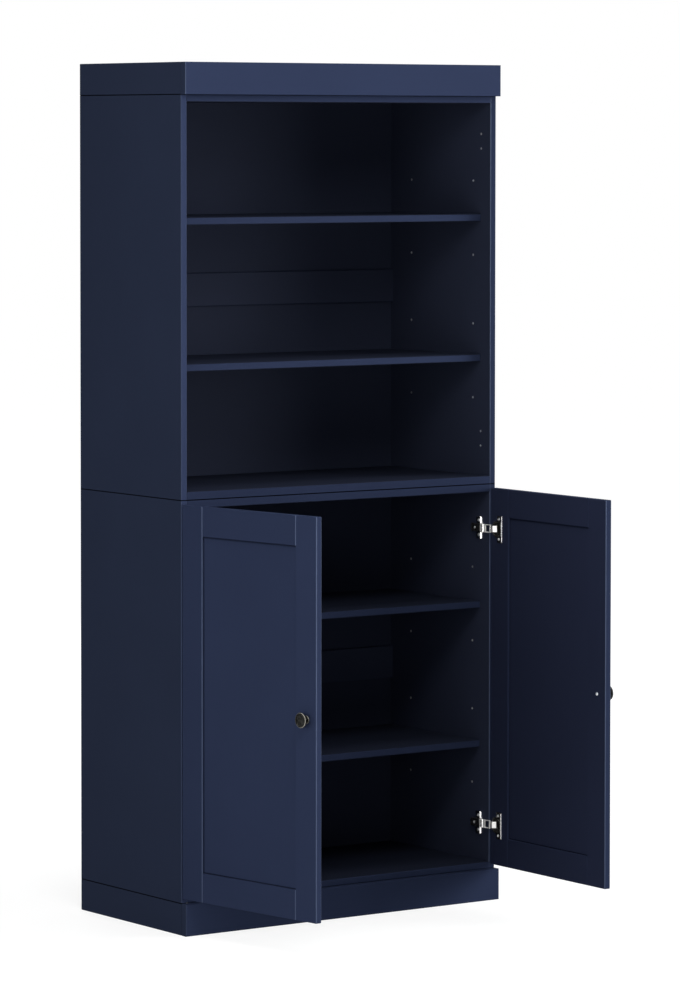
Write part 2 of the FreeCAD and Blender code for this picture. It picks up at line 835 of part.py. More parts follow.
def hinge_cups(side):
    """Each hinge's pressed cup: a bowl let into the stile, and a flange with an upturned edge."""
    cups = []
    top = f"-({DOOR_INNER_FACE} + flange_thick)"
    for where, level in HINGE_LEVELS.items():
        piece = Piece(f"{side}_{where}_cup", node=False)
        across = spot(side, CUP_PLACE)
        wings = piece.sketch("XZ_Plane", ("0", "0", top))
        start = span(side, "flange_wing_start - pivot_inset", "flange_wing_width")
        rectangle(wings, start, f"{level} - flange_height / 2", "flange_wing_width", "flange_height")
        piece.pad(wings, "flange_thick")
        piece.round(runs_along("y"), "flange_corner")
        lip = piece.sketch("XZ_Plane", ("0", "0", f"-({DOOR_INNER_FACE} + flange_lip)"))
        lip_start = "flange_wing_start + flange_wing_width - flange_lip_width - pivot_inset"
        rectangle(lip, span(side, lip_start, "flange_lip_width"),
                  f"{level} - flange_height / 2 + flange_corner", "flange_lip_width",
                  "flange_height - 2 * flange_corner")
        piece.pad(lip, "flange_lip")
        for diameter, height in (
            ("flange_disc", "flange_thick"),
            ("cup_diameter", "flange_thick + cup_bore_depth"),
        ):
            disc = piece.sketch("XZ_Plane", ("0", "0", top))
            circle(disc, across, level, diameter)
            piece.pad(disc, height)
        mouth = piece.sketch("XZ_Plane", ("0", "0", top))
        circle(mouth, across, level, "cup_mouth")
        piece.pocket(mouth, "flange_thick + cup_bore_depth - cup_floor", True)
        holes = piece.sketch("XZ_Plane", ("0", "0", top))
        for step in ("-", "+"):
            out = spot(side, f"{CUP_PLACE} + cup_screw_offset")
            circle(holes, out, f"{level} {step} cup_screw_pitch / 2", "cup_screw_hole")
        piece.pocket(holes, "flange_thick", True)
        cups.append(piece.body)
    put(gather(f"{side}_hinge_cups", cups), *pivot_place(side))


def cup_screws(side):
    screws = []
    for across, up in cup_screw_spots():
        screws.append(
            screw(f"{side}_cup_screw_{len(screws)}", "cup_screw_diameter",
                  "flange_thick + cup_screw_length", "cup_screw_head", "cup_screw_head_height",
                  spot(side, across), f"{DOOR_INNER_FACE} + flange_thick", up, Vector(0, -1, 0))
        )
    put(gather(f"{side}_cup_screws", screws), *pivot_place(side))


def hinge_places():
    """Each hinge's seat on a side: label, x, y, z and the turn that suits its hand."""
    for side in SIDES:
        hand = Rotation() if side == LEFT else Rotation(Vector(0, 1, 0), 180)
        for where, level in HINGE_LEVELS.items():
            x = spot(side, "(side_board - overall_width / 2)")
            yield f"{side}_{where}", (x, CARCASS_FRONT, level), hand


def hinge_plate(label):
    piece = Piece(label + "_plate", node=False)
    wings = piece.sketch("YZ_Plane")
    rectangle(wings, "plate_front", "-plate_height / 2", "plate_width", "plate_height")
    piece.pad(wings, "plate_thick")
    bosses = piece.sketch("YZ_Plane")
    inner = "(arm_width / 2 + wing_play)"
    rise = f"(plate_height / 2 - {inner})"
    for low in (inner, "-plate_height / 2"):
        rectangle(bosses, "plate_front", low, "plate_width", rise)
    piece.pad(bosses, "wing_thick")
    piece.round(runs_along("x"), "plate_corner")
    saddle = piece.sketch("YZ_Plane")
    width = "(arm_width - 2 * arm_wall - saddle_play)"
    rectangle(saddle, "saddle_front", f"-{width} / 2", "saddle_length", width)
    piece.pad(saddle, "saddle_height")
    holes = piece.sketch("YZ_Plane")
    for step in ("-", ""):
        circle(holes, "plate_hole_line", f"{step}plate_hole_pitch / 2", "plate_hole_diameter")
    piece.pocket(holes, "wing_thick", True)
    return piece.body


def hinge_arm(label):
    """A channel over the plate's saddle, with two ears that hold the link's pin."""
    piece = Piece(label + "_arm", node=False)
    cheek = "-arm_width / 2"
    channel = piece.sketch("XY_Plane", ("0", "0", cheek))
    outline(channel, [
        ("arm_low", "arm_rear"),
        ("arm_low", "arm_web_front"),
        ("arm_throat", "0"),
        ("link_pivot_in - ear_radius", "-link_pivot_ahead"),
        ("link_pivot_in + ear_radius", "-link_pivot_ahead"),
        ("arm_high", "arm_web_front"),
        ("arm_high", "arm_rear"),
    ])
    piece.pad(channel, "arm_width")
    tip = piece.sketch("XY_Plane", ("0", "0", cheek))
    circle(tip, "link_pivot_in", "-link_pivot_ahead", "2 * ear_radius")
    piece.pad(tip, "arm_width")
    hollow = piece.sketch("XY_Plane", ("0", "0", f"arm_wall {cheek}"))
    under_web = "(arm_high - arm_wall)"
    clear = "(link_pivot_ahead + 2 * ear_radius)"
    outline(hollow, [
        ("0", "arm_rear + arm_wall"),
        ("0", f"-{clear}"),
        ("arm_high + arm_wall", f"-{clear}"),
        ("arm_high + arm_wall", "arm_web_front"),
        (under_web, "arm_web_front"),
        (under_web, "arm_rear + arm_wall"),
    ])
    piece.pocket(hollow, "arm_width - 2 * arm_wall", True)
    pin = piece.sketch("XY_Plane", ("0", "0", cheek))
    circle(pin, "link_pivot_in", "-link_pivot_ahead", "link_pin")
    piece.pad(pin, "arm_width")
    return piece.body


def plate_screw(label, step):
    return screw(f"{label}_plate_screw_{step}", "plate_screw_diameter",
                 "wing_thick + plate_hole_depth", "plate_screw_head",
                 "plate_screw_head_height", "wing_thick", "plate_hole_line",
                 f"{step} * plate_hole_pitch / 2", Vector(-1, 0, 0))


def hinge_seats():
    plates = []
    arms = []
    screws = []
    for label, seat, hand in hinge_places():
        plates.append(seated(hinge_plate(label), seat, hand))
        arms.append(seated(hinge_arm(label), seat, hand))
        for step in (-1, 1):
            screws.append(seated(plate_screw(label, step), seat, hand))
    gather("hinge_plates", plates)
    gather("hinge_arms", arms)
    gather("plate_screws", screws)


def seated(thing, seat, hand):
    thing.Placement = Placement(Vector(), hand)
    put(thing, *seat)
    return thing


def hinge_link(label):
    """A bent strap on the arm's pin that reaches into the cup."""
    piece = Piece(label + "_link", node=False)
    cheek = "-link_width / 2"
    half = "link_thick / 2"
    bend = "link_bend_angle * 1 deg"
    lean = f"{half} * tan({bend} / 2)"
    end_x = f"link_run + link_hook * cos({bend})"
    end_y = f"-link_hook * sin({bend})"
    strap = piece.sketch("XY_Plane", ("0", "0", cheek))
    outline(strap, [
        ("0", f"-{half}"),
        (f"link_run - {lean}", f"-{half}"),
        (f"{end_x} - {half} * sin({bend})", f"{end_y} - {half} * cos({bend})"),
        (f"{end_x} + {half} * sin({bend})", f"{end_y} + {half} * cos({bend})"),
        (f"link_run + {lean}", half),
        ("0", half),
    ])
    piece.pad(strap, "link_width")
    for way, radius in (("-", "link_bend_radius"), ("+", "link_bend_radius + link_thick")):
        place = worth(f"link_run {way} {lean}")

        def corner(edge):
            box = edge.BoundBox
            return runs_along("z")(edge) and abs(box.XMin - place) < SAME_PLACE

        piece.round(corner, radius)
    knuckle = piece.sketch("XY_Plane", ("0", "0", cheek))
    circle(knuckle, "0", "0", "link_knuckle")
    piece.pad(knuckle, "link_width")
    bore = piece.sketch("XY_Plane", ("0", "0", cheek))
    circle(bore, "0", "0", "link_pin_bore")
    piece.pocket(bore, "link_width", True)
    return piece.body


def hinge_links(side):
    hand = Rotation() if side == LEFT else Rotation(Vector(0, 1, 0), 180)
    links = []
    for where, level in HINGE_LEVELS.items():
        links.append(seated(hinge_link(f"{side}_{where}"), ("0", "0", level), hand))
    group = gather(f"{side}_hinge_links", links)
    opened = f"{side}_door_angle"
    sign = "" if side == LEFT else "-"
    put(group, spot(side, "side_board + link_pivot_in - overall_width / 2"),
        f"{CARCASS_FRONT} - link_pivot_ahead", "0",
        f"{sign}(link_angle - link_ratio * {opened})")


def build():
    for unit in UNITS:
        for side in SIDES:
            side_panel(unit, side)
        for level in ("bottom", "top"):
            board = deck(unit, level)
            if unit.name == "lower" and level == "top":
                screw_holes(board, "0", "mid_deck", True)
            if unit.name == "upper" and level == "bottom":
                screw_holes(board, "0", "unit_screw_bite", True)
        for level in ("low", "high"):
            shelf(unit, level)
            back_panel(unit, level)
        back_rail(unit)
    skirt("plinth", "0", "plinth_height")
    plinth_stretcher()
    skirt("cornice", UPPER_TOP, "cornice_height")
    cornice_cap()
    shelf_pins()
    cam_joints()
    unit_screws()
    hinge_seats()
    for side in SIDES:
        door(side)
        knob(side)
        knob_screw(side)
        hinge_cups(side)
        cup_screws(side)
        hinge_links(side)


def check():
    for thing in DOC.Objects:
        if "Invalid" in thing.State or "Error" in thing.State:
            raise RuntimeError(f"{thing.Label}: {thing.State}")
    for node in NODES:
        if node.Shape.isNull() or not node.Shape.isValid():
            raise RuntimeError(f"{node.Label}: its shape is missing or invalid")


def export():
    os.makedirs("parts", exist_ok=True)
    for node in NODES:
        node.Shape.exportStep(f"parts/{node.Label}.step")
        print(node.Label, len(node.Shape.Solids), round(node.Shape.Volume))


build()
DOC.recompute()
check()
export()
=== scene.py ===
import math

import bmesh
import bpy
from mathutils import Matrix, Vector


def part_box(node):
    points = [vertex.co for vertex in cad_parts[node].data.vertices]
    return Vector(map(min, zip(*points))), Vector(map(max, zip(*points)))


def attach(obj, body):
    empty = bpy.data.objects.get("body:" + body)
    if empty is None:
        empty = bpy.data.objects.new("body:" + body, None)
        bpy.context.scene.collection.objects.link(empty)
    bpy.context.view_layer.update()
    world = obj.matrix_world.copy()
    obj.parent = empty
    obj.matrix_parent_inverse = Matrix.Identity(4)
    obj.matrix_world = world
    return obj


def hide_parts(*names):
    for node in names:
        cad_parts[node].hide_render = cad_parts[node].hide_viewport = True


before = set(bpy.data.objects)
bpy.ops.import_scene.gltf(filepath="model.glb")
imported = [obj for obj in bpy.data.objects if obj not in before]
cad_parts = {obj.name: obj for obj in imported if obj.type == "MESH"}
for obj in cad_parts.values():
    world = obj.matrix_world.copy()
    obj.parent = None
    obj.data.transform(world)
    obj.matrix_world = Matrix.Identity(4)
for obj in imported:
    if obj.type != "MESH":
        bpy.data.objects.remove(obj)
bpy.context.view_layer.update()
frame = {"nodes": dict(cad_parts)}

NODES = frame["nodes"]
scene = bpy.context.scene
MM = 0.001

# The doors as they stand in the photograph, and the place of the right one's pivot
OPEN = {"left": 82.0, "right": 89.0}
INWARD = {"left": 1, "right": -1}
PIVOT = (443.3 * MM, -217.7 * MM)

# On a door, from its pivot: along it to the cup and the knob, and behind it to its faces
CUP_ALONG = 25.3 * MM
CUP_FLANGE = 9.9 * MM
CUP_SCREW_STEP = 24 * MM
KNOB_ALONG = 409.8 * MM
KNOB_LEVEL = 537.75 * MM
DOOR_FRONT = -7.3 * MM
DOOR_REAR = 8.7 * MM

# On a side: hinges from its ends, screws off its inner face and back from its front edge
HINGE_INSET = 107 * MM
PLATE_OFF = 4.5 * MM
PLATE_BACK = 37 * MM
PLATE_SCREW_STEP = 17.5 * MM
ARM_OFF = 9.5 * MM
ARM_FIXING_BACK = 47 * MM
ARM_SETTING_BACK = 18 * MM

# Free shelf-pin holes: two rows, in groups above and below the middle of a unit
PIN_ROWS = (68 * MM, 318 * MM)
PIN_GROUP = 171.2 * MM
PIN_STEP = 89 * MM


def door_turn(side):
    """From a shut door's axes to those of the door as it stands."""
    return Matrix.Rotation(-INWARD[side] * math.radians(OPEN[side]), 3, "Z")


def along_door(side):
    """The way from the door's pivot to its free edge."""
    return door_turn(side) @ Vector((INWARD[side], 0, 0))


def door_pivot(side):
    return Vector((-INWARD[side] * PIVOT[0], PIVOT[1], 0))


def hinge_levels(unit):
    """Where the unit's sides have hinge plates, or the holes for them."""
    low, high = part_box(f"{unit}_left_side")
    return low.z + HINGE_INSET, high.z - HINGE_INSET


# ---------------------------------------------------------------- shader trees
class Look:
    """The shader tree of a material or of the world.

    Most functions add a node and give back its output. What they take is such an output or
    a constant.
    """

    def __init__(self, owner, shader="Principled BSDF"):
        owner.use_nodes = True
        self.owner = owner
        self.nodes = owner.node_tree.nodes
        self.links = owner.node_tree.links
        self.shader = self.nodes[shader]

    def feed(self, source, socket):
        if isinstance(source, bpy.types.NodeSocket):
            self.links.new(source, socket)
        else:
            socket.default_value = source

    def surface(self, name, source):
        """Gives the shader's input of this name its value."""
        self.feed(source, self.shader.inputs[name])

    def calc(self, operation, *sources):
        made = self.nodes.new("ShaderNodeMath")
        made.operation = operation
        for source, socket in zip(sources, made.inputs):
            self.feed(source, socket)
        return made.outputs["Value"]

    def vector(self, operation, *sources, result="Vector"):
        made = self.nodes.new("ShaderNodeVectorMath")
        made.operation = operation
        for source, socket in zip(sources, made.inputs):
            self.feed(source, socket)
        return made.outputs[result]

    def length(self, source):
        return self.vector("LENGTH", source, result="Value")

    def reach(self, source, direction):
        """How far source lies along a direction."""
        return self.vector("DOT_PRODUCT", source, direction, result="Value")

    def dimmed(self, color, light):
        made = self.nodes.new("ShaderNodeVectorMath")
        made.operation = "SCALE"
        self.feed(color, made.inputs[0])
        self.feed(light, made.inputs["Scale"])
        return made.outputs["Vector"]

    def axes(self, source):
        """The x, y and z of source."""
        made = self.nodes.new("ShaderNodeSeparateXYZ")
        self.feed(source, made.inputs["Vector"])
        return tuple(made.outputs)

    def place(self):
        """Where a point lies in the part's frame at rest, in metres."""
        return self.nodes.new("ShaderNodeTexCoord").outputs["Object"]

    def mapped(self, source, location=(0, 0, 0), turn=0.0, scale=(1, 1, 1)):
        made = self.nodes.new("ShaderNodeMapping")
        made.inputs["Location"].default_value = location
        made.inputs["Rotation"].default_value = (0, 0, turn)
        made.inputs["Scale"].default_value = scale
        self.feed(source, made.inputs["Vector"])
        return made.outputs["Vector"]

    def noise(self, coords, scale, detail, roughness):
        made = self.nodes.new("ShaderNodeTexNoise")
        made.inputs["Scale"].default_value = scale
        made.inputs["Detail"].default_value = detail
        made.inputs["Roughness"].default_value = roughness
        self.feed(coords, made.inputs["Vector"])
        return made.outputs["Fac"]

    def pebbles(self, coords, scale):
        made = self.nodes.new("ShaderNodeTexVoronoi")
        made.inputs["Scale"].default_value = scale
        self.feed(coords, made.inputs["Vector"])
        return made.outputs["Distance"]

    def ramp(self, fac, start, first, end, second):
        """The first color up to start, the second from end on, and a blend between them."""
        made = self.nodes.new("ShaderNodeValToRGB")
        stops = zip(made.color_ramp.elements, (start, end), (first, second))
        for element, position, color in stops:
            element.position = position
            element.color = (*color, 1.0)
        self.feed(fac, made.inputs["Fac"])
        return made.outputs["Color"]

    def spread(self, fac, low, high, start=0.3, end=0.7):
        """The value low up to start, high from end on, and a straight line between them."""
        made = self.nodes.new("ShaderNodeMapRange")
        made.inputs["From Min"].default_value = start
        made.inputs["From Max"].default_value = end
        made.inputs["To Min"].default_value = low
        made.inputs["To Max"].default_value = high
        self.feed(fac, made.inputs["Value"])
        return made.outputs["Result"]

    def blend(self, factor, first, second, kind="MIX"):
        made = self.nodes.new("ShaderNodeMix")
        made.data_type = "RGBA"
        made.blend_type = kind
        self.feed(factor, made.inputs["Factor"])
        self.feed(first, made.inputs["A"])
        self.feed(second, made.inputs["B"])
        return made.outputs["Result"]

    def bump(self, height, distance, strength=1.0, over=None):
        """The normal of a relief, laid over another normal where one is given."""
        made = self.nodes.new("ShaderNodeBump")
        made.inputs["Distance"].default_value = distance
        made.inputs["Strength"].default_value = strength
        self.feed(height, made.inputs["Height"])
        if over is not None:
            self.feed(over, made.inputs["Normal"])
        return made.outputs["Normal"]

    def rounded(self, radius):
        """The normal as if the edges were turned over by this radius."""
        made = self.nodes.new("ShaderNodeBevel")
        made.samples = 6
        made.inputs["Radius"].default_value = radius
        return made.outputs["Normal"]

    def seen(self):
        """1 for the camera, also in a reflection or through glass, and 0 for other light."""
        path = self.nodes.new("ShaderNodeLightPath").outputs
        indirect = self.calc("MAXIMUM", path["Is Glossy Ray"], path["Is Transmission Ray"])
        return self.calc("MAXIMUM", path["Is Camera Ray"], indirect)


def new_look(name):
    return Look(bpy.data.materials.new(name))


def scaled(color, factor):
    return tuple(min(1.0, c * factor) for c in color)


# ---------------------------------------------------------------- lacquer
NAVY = (0.0205, 0.0282, 0.0592)

# Painted light and shade: how much lighter or darker a whole board's paint is made, where it isn't 1
SHADES = {
    "plinth_left": 0.94, "plinth_right": 0.94,
    "cornice_left": 0.94, "cornice_right": 0.94, "cornice_front": 1.15,
    "lower_left_side": 1.32, "lower_right_side": 0.84,
    "upper_left_side": 1.32, "upper_right_side": 0.84,
    "lower_bottom_deck": 1.08, "lower_top_deck": 0.87, "upper_bottom_deck": 0.87,
    "upper_low_back": 1.12, "upper_high_back": 1.12,
    "lower_back_rail": 1.2, "upper_back_rail": 1.2,
    "left_door_hinge_stile": 1.02, "left_door_free_stile": 1.15,
    "left_door_bottom_rail": 1.09, "left_door_top_rail": 1.09, "left_door_field": 1.09,
}

# Painted light and shade on one face of a board: how light it is made, whatever the whole board is
LOWER_INSIDE_LIGHT = 1.12
UPPER_INSIDE_LIGHT = 0.95
FLANK_LIGHT = 0.92
FRONT_END_LIGHT = 0.94
DECK_TOP_LIGHT = 0.66
SHELF_TOP_LIGHT = 0.74

# Painted shade: what the paint of inward faces, of the right door's inner face and of the outer flanks
# is multiplied by, to make them a little duller and less blue than the fronts
INSIDE_SHADE = (1.04, 0.92, 0.77, 1.0)
OPEN_DOOR_SHADE = (0.86, 0.79, 0.77, 1.0)
FLANK_SHADE = (0.98, 0.96, 0.87, 1.0)

# Depths over which a face's painted light and shade, its sheen, the gleam of an eased edge and the
# painted shadow of a seam fade out
SKIN = (0.35 * MM, 0.7 * MM)
FILM = (0.2 * MM, 0.4 * MM)
EASED = (0.9 * MM, 1.8 * MM)
SEAM = (0.9 * MM, 1.6 * MM)

# Levels where stacked boards meet: on the plinth, between the units, under the cornice
STACK_LEVELS = (
    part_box("lower_left_side")[0].z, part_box("upper_left_side")[0].z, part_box("upper_left_side")[1].z
)

# Each board takes its own stretch of the noises, this far from the last board's
NOISE_STEP = (0.37, 0.61, 0.23)
ALONG_GRAIN = 0.08
PEEL_RELIEF = 0.06 * MM

# How strongly the film mirrors on faces and, on top of that, on eased edges, their tint, and the light
# that is left in a seam's painted shadow
FACE_SHINE = 0.0015
EDGE_SHINE = 0.9
GLEAM_TINT = (0.53, 0.68, 1.0)
SEAM_LIGHT = 0.1


class Board:
    """Where a lacquered board lies, in the axes it was made in, and how its paint looks.

    A face is named by its side: l and h for low and high x, f and b for front and rear,
    u and t for underside and top. A board has these facts:

    shade: painted light and shade, as a factor on the whole board's paint.
    turn: the angle from the part's axes to the board's own, for a door that stands open.
    seams: levels where stacked boards meet.
    gleams: eased edges, each as the two faces that meet there and a strength.
    shadows: painted shade near a face, and painted light and shade on a whole face, each as the face,
    the depths where it starts to fade and ends, and how much light is left.
    shade_tints: faces, each with a color that its paint is multiplied by, as painted shade.
    sheen: a face where the film shines, and how much.
    low, high, grain: its corners, and the axis of its length.
    """

    def __init__(self, name):
        self.name = name
        self.shade = SHADES.get(name, 1.0)
        self.turn = 0.0
        self.seams = ()
        self.gleams = ()
        self.shadows = ()
        self.shade_tints = ()
        self.sheen = None
        if "_door_" in name:
            self.set_door_board()
        elif name.endswith("_side"):
            self.set_side()
        elif name.endswith("_deck"):
            self.seams = STACK_LEVELS
            self.set_level_board(DECK_TOP_LIGHT)
        elif name.endswith("_shelf"):
            self.set_level_board(SHELF_TOP_LIGHT)
        elif name.endswith(("_back", "_back_rail")):
            self.sheen = ("f", 0.006)
            # Painted shade tint on the front face
            self.shade_tints = (("f", INSIDE_SHADE),)
        elif name.endswith("_front"):
            self.set_front()
        elif name.endswith(("_left", "_right")):
            self.seams = STACK_LEVELS
            # Painted shade tint on the outer face
            self.shade_tints = (("l" if name.endswith("_left") else "h", FLANK_SHADE),)
        self.measure()

    def set_door_board(self):
        side = self.name.split("_")[0]
        free, hinged = ("h", "l") if side == "left" else ("l", "h")
        self.turn = INWARD[side] * math.radians(OPEN[side])
        if self.name.endswith("free_stile"):
            self.gleams = (("f", free, 1.0), ("f", hinged, 0.12), ("b", free, 1.0))
        elif self.name.endswith("field"):
            # Painted shadow inside the door's frame: the field is darker along its top, bottom and
            # hinge-side edges
            self.shadows = (
                ("t", 9 * MM, 13 * MM, 0.40),
                ("u", 9 * MM, 10.6 * MM, 0.34),
                (hinged, 9 * MM, 13 * MM, 0.72),
            )
        else:
            self.gleams = (("f", free, 0.9),)
        # Painted shade on the right door's inner face
        if side == "right":
            self.shade_tints = (("b", OPEN_DOOR_SHADE),)

    def set_side(self):
        unit, side = self.name.split("_")[:2]
        inner, outer = ("h", "l") if side == "left" else ("l", "h")
        low_gleam, high_gleam = (0.22, 0.14) if side == "left" else (0.7, 0.1)
        inside = LOWER_INSIDE_LIGHT if unit == "lower" else UPPER_INSIDE_LIGHT
        self.seams = STACK_LEVELS
        self.gleams = (("f", "l", low_gleam), ("f", "h", high_gleam))
        # Painted light and shade: the inner and outer faces get their own lightness, apart from the
        # rest of the side
        self.shadows = (self.face_light(inner, inside), self.face_light(outer, FLANK_LIGHT))
        self.shade_tints = ((inner, INSIDE_SHADE), (outer, FLANK_SHADE))
        self.sheen = (inner, 0.01)

    def set_level_board(self, top_light):
        # Painted shade: the top is made darker than the front edge
        self.shadows = (self.face_light("t", top_light),)
        self.shade_tints = (("t", INSIDE_SHADE), ("u", INSIDE_SHADE))

    def set_front(self):
        strong = 0.2 if self.name == "plinth_front" else 0.6
        faint = 0.3 * strong
        self.gleams = (("f", "l", strong), ("f", "h", faint), ("b", "l", faint))
        # Painted light and shade: the end faces get their own lightness, apart from the front
        self.shadows = tuple(self.face_light(end, FRONT_END_LIGHT) for end in "lh")
        self.shade_tints = tuple((end, FLANK_SHADE) for end in "lh")

    def face_light(self, face, light):
        """The painted light and shade that makes one face this light, whatever the board's shade."""
        return (face, *SKIN, light / self.shade)

    def measure(self):
        spin = Matrix.Rotation(self.turn, 3, "Z")
        spots = [spin @ vertex.co for vertex in NODES[self.name].data.vertices]
        self.low = Vector([min(spot[axis] for spot in spots) for axis in range(3)])
        self.high = Vector([max(spot[axis] for spot in spots) for axis in range(3)])
        span = self.high - self.low
        self.grain = max(range(3), key=lambda axis: span[axis])


def face_depths(look, place, board):
    """How far a point of the board lies inside each of its faces."""
    place = look.axes(place)
    depths = {}
    for axis, (low, high) in enumerate(("lh", "fb", "ut")):
        depths[low] = look.calc("SUBTRACT", place[axis], board.low[axis])
        depths[high] = look.calc("SUBTRACT", board.high[axis], place[axis])
    return depths


def gleaming_edges(look, depths, board):
    """The strength on the board's eased edges, 0 elsewhere."""
    whole = 0.0
    for first, second, strength in board.gleams:
        corner = look.calc("MAXIMUM", depths[first], depths[second])
        whole = look.calc("MAXIMUM", whole, look.spread(corner, strength, 0.0, *EASED))
    return whole


def seam_clearance(look, up, board):
    """0 at the levels where stacked boards meet, where a painted shadow line goes, and 1 away from
    them.
    """
    gap = None
    for level in board.seams:
        off = look.calc("ABSOLUTE", look.calc("SUBTRACT", up, level))
        gap = off if gap is None else look.calc("MINIMUM", gap, off)
    return look.spread(gap, 0.0, 1.0, *SEAM)


def navy_paint(look, depths, board, cloud, fibre):
    """The board's navy, made lighter or darker by its painted light and shade: a slow drift of tone,
    streaks along its length, and its painted shade tints.
    """
    base = scaled(NAVY, board.shade)
    tone = look.ramp(cloud, 0.25, scaled(base, 0.95), 0.75, scaled(base, 1.05))
    streak = look.ramp(fibre, 0.3, (0.97, 0.97, 0.97), 0.7, (1.0, 1.0, 1.0))
    color = look.blend(1.0, tone, streak, "MULTIPLY")
    for face, tint in board.shade_tints:
        near = look.spread(depths[face], 1.0, 0.0, *SKIN)
        color = look.blend(near, color, tint, "MULTIPLY")
    return color


def lacquer(board, number):
    """Sprayed satin navy on a board.

    A slow drift of tone, the board's length just telegraphing through, fine orange peel, eased edges
    that catch the light, a painted shadow line where stacked boards meet, and painted light and shade
    on the board, on some of its faces and near door frames.
    """
    look = new_look(board.name + "_lacquer")
    coords = look.place()
    place = look.mapped(coords, turn=board.turn)
    own = look.mapped(place, location=[step * number for step in NOISE_STEP])
    stretch = [ALONG_GRAIN if axis == board.grain else 1.0 for axis in range(3)]
    cloud = look.noise(own, 3.2, 3.0, 0.55)
    fibre = look.noise(look.mapped(own, scale=stretch), 190.0, 4.0, 0.6)
    peel = look.noise(own, 620.0, 2.0, 0.5)
    depths = face_depths(look, place, board)

    gleam = gleaming_edges(look, depths, board)
    # Painted shade: the seams' painted shadow lines and the board's painted shadows scale its paint
    light = 1.0
    if board.seams:
        clear = seam_clearance(look, look.axes(coords)[2], board)
        gleam = look.calc("MULTIPLY", gleam, clear)
        light = look.calc("MULTIPLY_ADD", clear, 1.0 - SEAM_LIGHT, SEAM_LIGHT)
    for face, start, end, left in board.shadows:
        light = look.calc("MULTIPLY", light, look.spread(depths[face], left, 1.0, start, end))
    paint = navy_paint(look, depths, board, cloud, fibre)
    look.surface("Base Color", look.dimmed(paint, light))

    shine = look.calc("MULTIPLY_ADD", gleam, EDGE_SHINE, FACE_SHINE)
    if board.sheen:
        face, strength = board.sheen
        shine = look.calc("MAXIMUM", shine, look.spread(depths[face], strength, 0.0, *FILM))
    look.surface("Specular IOR Level", shine)
    if board.gleams:
        look.surface("Specular Tint", look.ramp(gleam, 0.0, (1.0, 1.0, 1.0), 0.08, GLEAM_TINT))
    look.surface("Roughness", look.spread(cloud, 0.405, 0.465))
    relief = look.calc("MULTIPLY_ADD", fibre, 0.35, peel)
    look.surface("Normal", look.bump(relief, PEEL_RELIEF, 0.55))
    return look.owner


# ---------------------------------------------------------------- metals
DRAWN_RELIEF = 0.02 * MM

# Levels of y on a hinge: the arm's rib, where the arm's rear starts to be painted dark, as a painted
# reflection of the dark inside, and where the plate's wings start to roll over
ARM_RIB = -189.5 * MM
ARM_PAINTED_DARK = (-180.5 * MM, -178.5 * MM)
PLATE_ROLL = -180 * MM

# Where the cup's painted dark ends and its upturned edge begins, along the door from its pivot
CUP_LIP = (35.6 * MM, 36.6 * MM)

# On a knob: radii where its lip begins and ends and where its foot begins, the foot's top, and where a
# painted highlight fades in towards the door's free edge, along the door from its axis
KNOB_LIP_INNER = (15.9 * MM, 16.2 * MM)
KNOB_LIP_OUTER = (16.6 * MM, 17.0 * MM)
KNOB_FOOT = (8.4 * MM, 9.0 * MM)
KNOB_FOOT_TOP = (3.0 * MM, 4.5 * MM)
KNOB_PAINTED_HIGHLIGHT = (-7.0 * MM, 9.0 * MM)


def finger_haze(look, coords):
    return look.noise(coords, 90.0, 4.0, 0.6)


def drawing_lines(look, coords):
    """The fine lines of rolled and drawn sheet."""
    return look.noise(look.mapped(coords, scale=(1, 0.05, 1)), 1500.0, 3.0, 0.6)


def metal(name, tint, rough, edge=0.7 * MM, metallic=1.0):
    """A plated pressing: faint drawing lines, finger haze, and edges turned over."""
    look = new_look(name)
    coords = look.place()
    haze = finger_haze(look, coords)
    lines = drawing_lines(look, coords)
    look.surface("Base Color", look.ramp(haze, 0.3, scaled(tint, 0.9), 0.7, tint))
    look.surface("Metallic", metallic)
    look.surface("Roughness", look.spread(haze, rough, rough + 0.12))
    look.surface("Normal", look.bump(lines, DRAWN_RELIEF, 0.5, look.rounded(edge)))
    return look.owner


def arm_metal():
    """The arm: bright in front, with a pressed rib across it, and a rear painted dark as a painted
    reflection of the dark inside.
    """
    look = new_look("hinge_arm_metal")
    coords = look.place()
    along = look.axes(coords)[1]
    haze = finger_haze(look, coords)
    lines = drawing_lines(look, coords)
    off = look.calc("ABSOLUTE", look.calc("SUBTRACT", along, ARM_RIB))
    rib = look.spread(off, 1.0, 0.0, 0.4 * MM, 4.4 * MM)
    pressed = look.bump(rib, 4.2 * MM, 1.0, look.rounded(3.0 * MM))
    bright = look.ramp(haze, 0.3, (0.88, 0.87, 0.85), 0.7, (0.96, 0.95, 0.93))
    # Painted reflection: the rear is painted near black, for the dark inside it would mirror
    painted_dark = look.ramp(haze, 0.3, (0.012, 0.012, 0.013), 0.7, (0.022, 0.022, 0.024))
    behind = look.spread(along, 0.0, 1.0, *ARM_PAINTED_DARK)
    look.surface("Base Color", look.blend(behind, bright, painted_dark))
    look.surface("Metallic", look.spread(rib, 0.3, 1.0, 0.0, 0.1))
    look.surface("Roughness", look.spread(haze, 0.22, 0.34))
    look.surface("Normal", look.bump(lines, DRAWN_RELIEF, 0.5, pressed))
    return look.owner


